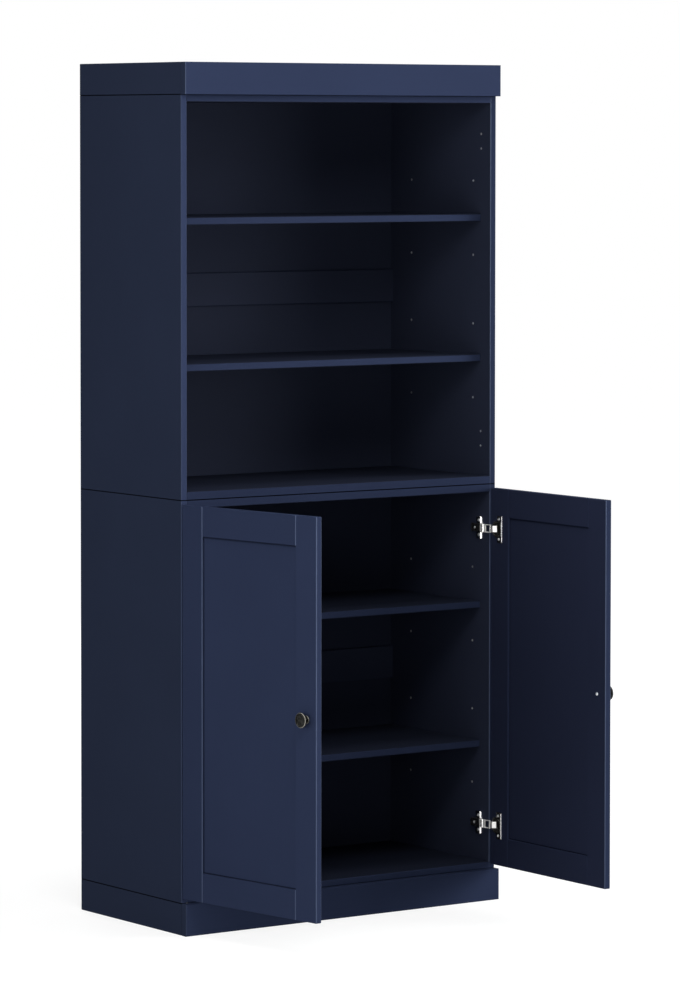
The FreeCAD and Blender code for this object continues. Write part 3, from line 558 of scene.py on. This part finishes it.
def cup_metal(side):
    """The cup and its flange: the upturned edge away from the pivot is the bright part, and the rest is
    painted dark as a painted reflection of the dark inside.
    """
    look = new_look(f"{side}_cup_metal")
    coords = look.place()
    haze = finger_haze(look, coords)
    from_pivot = look.vector("SUBTRACT", coords, door_pivot(side))
    lip = look.spread(look.reach(from_pivot, along_door(side)), 0.0, 1.0, *CUP_LIP)
    # Painted reflection: the flange is painted dark, for the dark inside it would mirror
    dark = look.ramp(haze, 0.3, (0.10, 0.10, 0.10), 0.7, (0.20, 0.20, 0.195))
    bright = look.ramp(haze, 0.3, (0.86, 0.86, 0.87), 0.7, (0.97, 0.97, 0.97))
    look.surface("Base Color", look.blend(lip, dark, bright))
    look.surface("Metallic", 0.9)
    look.surface("Roughness", look.spread(haze, 0.12, 0.22))
    look.surface("Normal", look.rounded(4.5 * MM))
    return look.owner


def plate_metal():
    """The mounting plate: its wings are rolled over along their front edges."""
    look = new_look("hinge_plate_metal")
    coords = look.place()
    haze = finger_haze(look, coords)
    back = look.calc("SUBTRACT", look.axes(coords)[1], PLATE_ROLL)
    roll = look.spread(back, 0.0, 1.0, 0.0, 5.5 * MM)
    look.surface("Base Color", look.ramp(haze, 0.3, (0.86, 0.85, 0.84), 0.7, (0.94, 0.93, 0.92)))
    look.surface("Metallic", 1.0)
    look.surface("Roughness", look.spread(haze, 0.12, 0.24))
    look.surface("Normal", look.bump(roll, 6.5 * MM, 1.0, look.rounded(3.0 * MM)))
    return look.owner


def knob_brass(side, centre, axis):
    """Antique brass: dark and pebbled in the dish, worn bright on its lip and foot, with a painted
    highlight that fades in towards the door's free edge.
    """
    look = new_look(f"{side}_antique_brass")
    coords = look.place()
    offset = look.vector("SUBTRACT", coords, centre)
    radius = look.length(look.vector("CROSS_PRODUCT", offset, axis))
    rise = look.reach(offset, axis)
    mottle = look.noise(coords, 260.0, 4.0, 0.65)
    lip = look.calc(
        "MULTIPLY",
        look.spread(radius, 0.0, 1.0, *KNOB_LIP_INNER),
        look.spread(radius, 1.0, 0.0, *KNOB_LIP_OUTER),
    )
    foot = look.calc(
        "MULTIPLY",
        look.spread(radius, 0.0, 0.35, *KNOB_FOOT),
        look.spread(rise, 1.0, 0.0, *KNOB_FOOT_TOP),
    )
    # Painted highlight: the worn lip and foot are lighter towards the door's free edge
    lit_side = look.spread(look.reach(offset, along_door(side)), 0.14, 1.0, *KNOB_PAINTED_HIGHLIGHT)
    worn_and_lit = look.calc("MULTIPLY", look.calc("MAXIMUM", lip, foot), lit_side)
    dark = look.ramp(mottle, 0.42, (0.002, 0.002, 0.002), 0.62, (0.026, 0.0262, 0.0235))
    bright = look.ramp(mottle, 0.25, (0.26, 0.25, 0.22), 0.7, (0.58, 0.56, 0.50))
    look.surface("Base Color", look.blend(worn_and_lit, dark, bright))
    look.surface("Metallic", 1.0)
    look.surface("Roughness", look.spread(mottle, 0.34, 0.5))
    look.surface("Normal", look.bump(look.pebbles(coords, 620.0), 0.4 * MM, 0.6))
    return look.owner


LINK = metal("satin_nickel", (0.84, 0.83, 0.81), rough=0.24, edge=1.2 * MM, metallic=0.8)
ZINC = metal("zinc_plate", (0.80, 0.81, 0.82), rough=0.24)
SLEEVE = metal("steel_sleeve", (0.42, 0.42, 0.43), rough=0.30, edge=0.1 * MM)


# ---------------------------------------------------------------- finish the CAD nodes
def dress(name, mat):
    data = NODES[name].data
    data.materials.clear()
    data.materials.append(mat)


for number, name in enumerate(NODES):
    if name == "hinge_arms":
        dress(name, arm_metal())
    elif name == "hinge_plates":
        dress(name, plate_metal())
    elif "hinge_cups" in name:
        dress(name, cup_metal(name.split("_")[0]))
    elif "hinge_links" in name:
        dress(name, LINK)
    elif name == "shelf_pins":
        dress(name, SLEEVE)
    elif "screw" in name or name.startswith("cam_"):
        dress(name, ZINC)
    elif not name.endswith("_knob"):
        dress(name, lacquer(Board(name), number))


# ---------------------------------------------------------------- pieces
SHARP = math.radians(35)

# A sleeve in its hole with a rolled lip on the face: radius and height in mm
SLEEVE_PROFILE = ((1.9, -8), (1.9, 0.05), (2.05, 0.26), (2.5, 0.30), (2.85, 0.18), (2.9, 0))

# The foot, the waisted neck, the lip and the dish of a knob: radius and height in mm
KNOB_PROFILE = (
    (0, 0), (9.4, 0), (9.5, 0.4), (9.5, 1.9), (9.2, 2.4), (8.4, 2.7), (6.2, 3.0), (5.4, 3.7),
    (5.2, 5.6), (5.3, 8.0), (6.0, 10.3), (7.6, 12.2), (10.2, 13.8), (13.2, 15.0), (15.8, 15.8),
    (17.0, 16.5), (17.4, 17.3), (17.4, 18.1), (17.1, 18.8), (16.5, 19.2), (15.9, 19.1),
    (15.4, 18.6), (15.1, 17.9), (14.6, 17.5), (12.0, 17.3), (6.0, 17.2), (0, 17.2),
)

# Screws: radius and length of the shaft, radius and height of the head
PLATE_SCREW = {"shaft": 2.4 * MM, "length": 16.5 * MM, "head": 3.9 * MM, "rise": 1.7 * MM}
FIXING_SCREW = {"shaft": 1.8 * MM, "length": 6 * MM, "head": 3.3 * MM, "rise": 1.3 * MM}
SETTING_SCREW = {"shaft": 1.8 * MM, "length": 6 * MM, "head": 2.6 * MM, "rise": 1.3 * MM}
CUP_SCREW = {"shaft": 1.7 * MM, "length": 12.2 * MM, "head": 3.4 * MM, "rise": 1.3 * MM}
KNOB_SCREW = {"shaft": 2.0 * MM, "length": 25 * MM, "head": 4.2 * MM, "rise": 2.3 * MM}

# Shares of a screw head's radius: its rings, close together where the recess ends, and how
# far out the recess goes and how wide its slots are to each side
HEAD_RINGS = (0.10, 0.20, 0.32, 0.44, 0.54, 0.60, 0.72, 0.86, 0.95, 1.0)
RECESS_REACH = 0.57
RECESS_HALF_WIDTH = 0.12

# Shares of its height: how far the dome falls to its rim, and how deep the recess is
DOME_FALL = 0.68
RECESS_DEPTH = 0.55

DOME_POWER = 2.6
POINT_SHARE = 0.2
SCREW_STEPS = 40
SLEEVE_STEPS = 24
KNOB_STEPS = 64


def mesh_object(name, bm):
    data = bpy.data.meshes.new(name)
    bm.to_mesh(data)
    bm.free()
    obj = bpy.data.objects.new(name, data)
    scene.collection.objects.link(obj)
    return obj


def smooth_piece(name, bm, mat, body):
    """A smooth piece that moves with body."""
    obj = mesh_object(name, bm)
    for polygon in obj.data.polygons:
        polygon.use_smooth = True
    obj.data.materials.append(mat)
    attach(obj, body)
    return obj


def ring(bm, place, radius, heights):
    """Points around the local Z axis of place, one for each height."""
    steps = len(heights)
    return [
        bm.verts.new(place @ Vector((
            radius * math.cos(2 * math.pi * k / steps),
            radius * math.sin(2 * math.pi * k / steps),
            height,
        )))
        for k, height in enumerate(heights)
    ]


def bridge(bm, rings, rising):
    """Faces between each ring and the next, above or below it. A ring of one is a tip."""
    for a, b in zip(rings, rings[1:]):
        steps = max(len(a), len(b))
        for k in range(steps):
            n = (k + 1) % steps
            if len(a) == 1:
                corners = (a[0], b[k], b[n])
            elif len(b) == 1:
                corners = (a[k], a[n], b[0])
            elif rising:
                corners = (a[k], a[n], b[n], b[k])
            else:
                corners = (a[k], b[k], b[n], a[n])
            bm.faces.new(corners)


def lathe(bm, profile, place, steps):
    """Turns a profile of radii and heights in mm about the local Z axis of place."""
    rings = [
        ring(bm, place, radius * MM, [height * MM] * (steps if radius > 0 else 1))
        for radius, height in profile
    ]
    bridge(bm, rings, rising=True)


def facing(point, direction):
    """A place at point whose +Z looks along direction."""
    turn = Vector((0, 0, 1)).rotation_difference(Vector(direction))
    return Matrix.Translation(point) @ turn.to_matrix().to_4x4()


def on_side(way, off, back, up):
    """A place off the inner face of a lower side, back from its front edge, facing inward."""
    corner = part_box("lower_right_side")[0]
    return facing((way * (corner.x - off), corner.y + back, up), (-way, 0, 0))


def on_door(side, along, behind, up, outward):
    """A place on the open door, along it and behind it from its pivot.

    It faces away from the door's rear for an outward of 1 and from its front for -1.
    """
    turn = door_turn(side)
    spot = door_pivot(side) + turn @ Vector((INWARD[side] * along, behind, up))
    return facing(spot, turn @ Vector((0, outward, 0)))


def side_holes(unit):
    """The holes that stay free in a side: how far behind its front edge, and the level."""
    middle = (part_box(f"{unit}_bottom_deck")[1].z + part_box(f"{unit}_top_deck")[0].z) / 2
    for group in (-PIN_GROUP, PIN_GROUP):
        for step in (-PIN_STEP, PIN_STEP):
            for back in PIN_ROWS:
                yield back, middle + group + step
    if unit == "upper":
        for level in hinge_levels(unit):
            for step in (-PLATE_SCREW_STEP, PLATE_SCREW_STEP):
                yield PLATE_BACK, level + step


def pin_sleeves():
    """Thin pressed sleeves that line the free holes, with a rolled lip on the face."""
    bm = bmesh.new()
    for unit in ("lower", "upper"):
        for side, way in INWARD.items():
            low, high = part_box(f"{unit}_{side}_side")
            x = high.x if way > 0 else low.x
            for back, up in side_holes(unit):
                place = facing((x, low.y + back, up), (way, 0, 0))
                lathe(bm, SLEEVE_PROFILE, place, SLEEVE_STEPS)
    smooth_piece("pin_sleeves", bm, SLEEVE, "carcass")


def pan_head_screw(bm, place, shaft, length, head, rise):
    """A screw seated at place: a domed head with a cross recess, and its shaft below."""
    angles = [2 * math.pi * k / SCREW_STEPS for k in range(SCREW_STEPS)]
    point = POINT_SHARE * shaft

    def level(share, angle):
        up = rise * (1 - DOME_FALL * share ** DOME_POWER)
        nearest = (angle + math.pi / 4) % (math.pi / 2) - math.pi / 4
        if share < RECESS_REACH and abs(share * math.sin(nearest)) < RECESS_HALF_WIDTH:
            up -= RECESS_DEPTH * rise
        return up

    rings = [ring(bm, place, 0, [level(0, 0)])]
    for share in HEAD_RINGS:
        rings.append(ring(bm, place, head * share, [level(share, angle) for angle in angles]))
    for radius, height in ((head, 0), (shaft, 0), (shaft, shaft - length), (point, -length)):
        rings.append(ring(bm, place, radius, [height] * SCREW_STEPS))
    bridge(bm, rings, rising=False)
    bm.faces.new(reversed(rings[-1]))


def screws(name, seats, body):
    """One piece with a screw on each seat, which is a place and the screw's sizes."""
    bm = bmesh.new()
    for place, sizes in seats:
        pan_head_screw(bm, place, **sizes)
    piece = smooth_piece(name, bm, ZINC, body)
    piece.data.set_sharp_from_angle(angle=SHARP)
    return piece


def replacing_screws(name, seats, body, node):
    piece = screws(name, seats, body)
    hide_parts(node)


def hinge_screws():
    """Two screws in each mounting plate, and on each arm one to fix it and one to set it."""
    in_plates, in_arms = [], []
    for way in (-1, 1):
        for level in hinge_levels("lower"):
            for step in (-PLATE_SCREW_STEP, PLATE_SCREW_STEP):
                in_plates.append((on_side(way, PLATE_OFF, PLATE_BACK, level + step), PLATE_SCREW))
            in_arms.append((on_side(way, ARM_OFF, ARM_FIXING_BACK, level), FIXING_SCREW))
            in_arms.append((on_side(way, ARM_OFF, ARM_SETTING_BACK, level), SETTING_SCREW))
    replacing_screws("plate_screw_heads", in_plates, "carcass", "plate_screws")
    screws("arm_screw_heads", in_arms, "carcass")


def door_screws(side):
    """Two screws in the flange of each cup, and the one that holds the knob."""
    in_cups = [
        (on_door(side, CUP_ALONG, CUP_FLANGE, level + step, 1), CUP_SCREW)
        for level in hinge_levels("lower")
        for step in (-CUP_SCREW_STEP, CUP_SCREW_STEP)
    ]
    in_knob = [(on_door(side, KNOB_ALONG, DOOR_REAR, KNOB_LEVEL, 1), KNOB_SCREW)]
    body = f"{side}_door"
    replacing_screws(f"{side}_cup_screw_heads", in_cups, body, f"{side}_cup_screws")
    replacing_screws(f"{side}_knob_screw_head", in_knob, body, f"{side}_knob_screw")


def knob(side):
    """A turned knob with a foot, a waisted neck and a dished face inside a rolled lip."""
    place = on_door(side, KNOB_ALONG, DOOR_FRONT, KNOB_LEVEL, -1)
    bm = bmesh.new()
    lathe(bm, KNOB_PROFILE, place, KNOB_STEPS)
    brass = knob_brass(side, place.translation, place.to_3x3() @ Vector((0, 0, 1)))
    piece = smooth_piece(f"{side}_turned_knob", bm, brass, f"{side}_door")
    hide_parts(f"{side}_knob")


pin_sleeves()
hinge_screws()
for side in OPEN:
    door_screws(side)
    knob(side)


# ---------------------------------------------------------------- floor, light, camera
FLOOR_REACH = 30

# The floor's grey for light that bounces off it, and under its glow where it is seen
FLOOR_GREY = (0.55, 0.55, 0.55, 1)
FLOOR_SEEN_GREY = (0.30, 0.30, 0.30, 1)

# The glow near the part, where light falls on the floor too, and the distances over which
# it grows to full white
NEAR_GLOW = 0.77
GLOW_GROWS = (1.5, 6.0)

# The camera of the photograph, matched to its outlines
YAW, PITCH, ROLL = (math.radians(angle) for angle in (35.365354610, 2.717439807, -0.043311523))
EYE = (-6.184526866, -8.911044544, 1.839075432)
FOCAL_PIXELS = 4577.503758
PHOTO_HEIGHT = 1000.0
SENSOR = 36.0
SHIFT = -0.15


def stage_floor():
    """A floor that is white where it is seen, and throws back light like a grey one."""
    bm = bmesh.new()
    for x, y in ((-1, -1), (1, -1), (1, 1), (-1, 1)):
        bm.verts.new((x * FLOOR_REACH, y * FLOOR_REACH, 0))
    bm.faces.new(bm.verts)
    floor = mesh_object("floor", bm)

    look = new_look("floor_white")
    nodes = look.nodes
    plain = nodes.new("ShaderNodeBsdfDiffuse")
    look.feed(FLOOR_GREY, plain.inputs["Color"])
    shown = nodes.new("ShaderNodeBsdfDiffuse")
    look.feed(FLOOR_SEEN_GREY, shown.inputs["Color"])
    glow = nodes.new("ShaderNodeEmission")
    distance = look.length(nodes.new("ShaderNodeNewGeometry").outputs["Position"])
    look.feed(look.spread(distance, NEAR_GLOW, 1.0, *GLOW_GROWS), glow.inputs["Strength"])
    both = nodes.new("ShaderNodeAddShader")
    look.feed(shown.outputs["BSDF"], both.inputs[0])
    look.feed(glow.outputs["Emission"], both.inputs[1])
    mix = nodes.new("ShaderNodeMixShader")
    look.feed(look.seen(), mix.inputs["Fac"])
    look.feed(plain.outputs["BSDF"], mix.inputs[1])
    look.feed(both.outputs["Shader"], mix.inputs[2])
    look.feed(mix.outputs["Shader"], nodes["Material Output"].inputs["Surface"])
    nodes.remove(look.shader)
    floor.data.materials.append(look.owner)


def white_world():
    """White where it is seen, also in reflections. It gives no other light."""
    look = Look(bpy.data.worlds.new("studio"), "Background")
    look.surface("Color", (1, 1, 1, 1))
    look.surface("Strength", look.seen())
    scene.world = look.owner


def softbox(name, place, target, size, watts):
    light = bpy.data.lights.new(name, "AREA")
    light.shape = "RECTANGLE"
    light.size, light.size_y = size
    light.energy = watts
    obj = bpy.data.objects.new(name, light)
    scene.collection.objects.link(obj)
    obj.location = place
    obj.rotation_mode = "QUATERNION"
    obj.rotation_quaternion = (Vector(target) - Vector(place)).to_track_quat("-Z", "Y")


def camera():
    data = bpy.data.cameras.new("camera")
    data.sensor_width = SENSOR
    data.lens = FOCAL_PIXELS * SENSOR / PHOTO_HEIGHT
    data.shift_y = SHIFT
    data.clip_start, data.clip_end = 0.1, 100.0
    obj = bpy.data.objects.new("camera", data)
    scene.collection.objects.link(obj)
    heading = Matrix.Translation(EYE) @ Matrix.Rotation(-YAW, 4, "Z")
    tilt = Matrix.Rotation(math.pi / 2 - PITCH, 4, "X") @ Matrix.Rotation(-ROLL, 4, "Z")
    obj.matrix_world = heading @ tilt
    scene.camera = obj


stage_floor()
white_world()
softbox("left", (-6.0, -0.5, 2.0), (0, 0, 1.0), (4.0, 4.0), watts=54)
softbox("left_near", (-3.0, -1.8, 1.2), (0, -0.3, 0.9), (2.0, 2.0), watts=28)
softbox("left_rear", (-6.0, 1.0, 2.0), (0, 0.1, 1.0), (2.2, 3.0), watts=51)
softbox("left_low", (-1.6, -3.0, 0.9), (-0.2, -0.4, 0.7), (1.6, 1.6), watts=10)
softbox("front_high", (-0.9, -3.6, 4.4), (0, -0.2, 1.2), (2.0, 2.0), watts=11)
softbox("front_near", (-1.3, -2.6, 3.3), (-0.2, -0.2, 1.4), (1.2, 1.2), watts=26)
softbox("front_corner", (-1.4, -1.9, 2.5), (-0.3, -0.2, 1.7), (0.8, 0.8), watts=8)
softbox("right_front", (4.0, -4.0, 2.0), (0, 0, 1.0), (3.0, 3.0), watts=106)
softbox("right", (5.0, -3.0, 2.5), (0, 0, 1.0), (3.0, 3.0), watts=163)
softbox("right_low", (3.0, -2.6, 0.9), (0, -0.3, 0.8), (1.6, 1.6), watts=31)
softbox("right_far", (7.0, -2.2, 2.0), (0, 0, 1.0), (2.4, 3.0), watts=190)
softbox("rear", (1.5, 5.5, 2.6), (0, 0.2, 1.0), (3.0, 3.0), watts=150)
softbox("top", (0, -0.5, 5.5), (0, -0.5, 1.0), (4.0, 4.0), watts=140)
camera()
scene.view_settings.view_transform = "Standard"
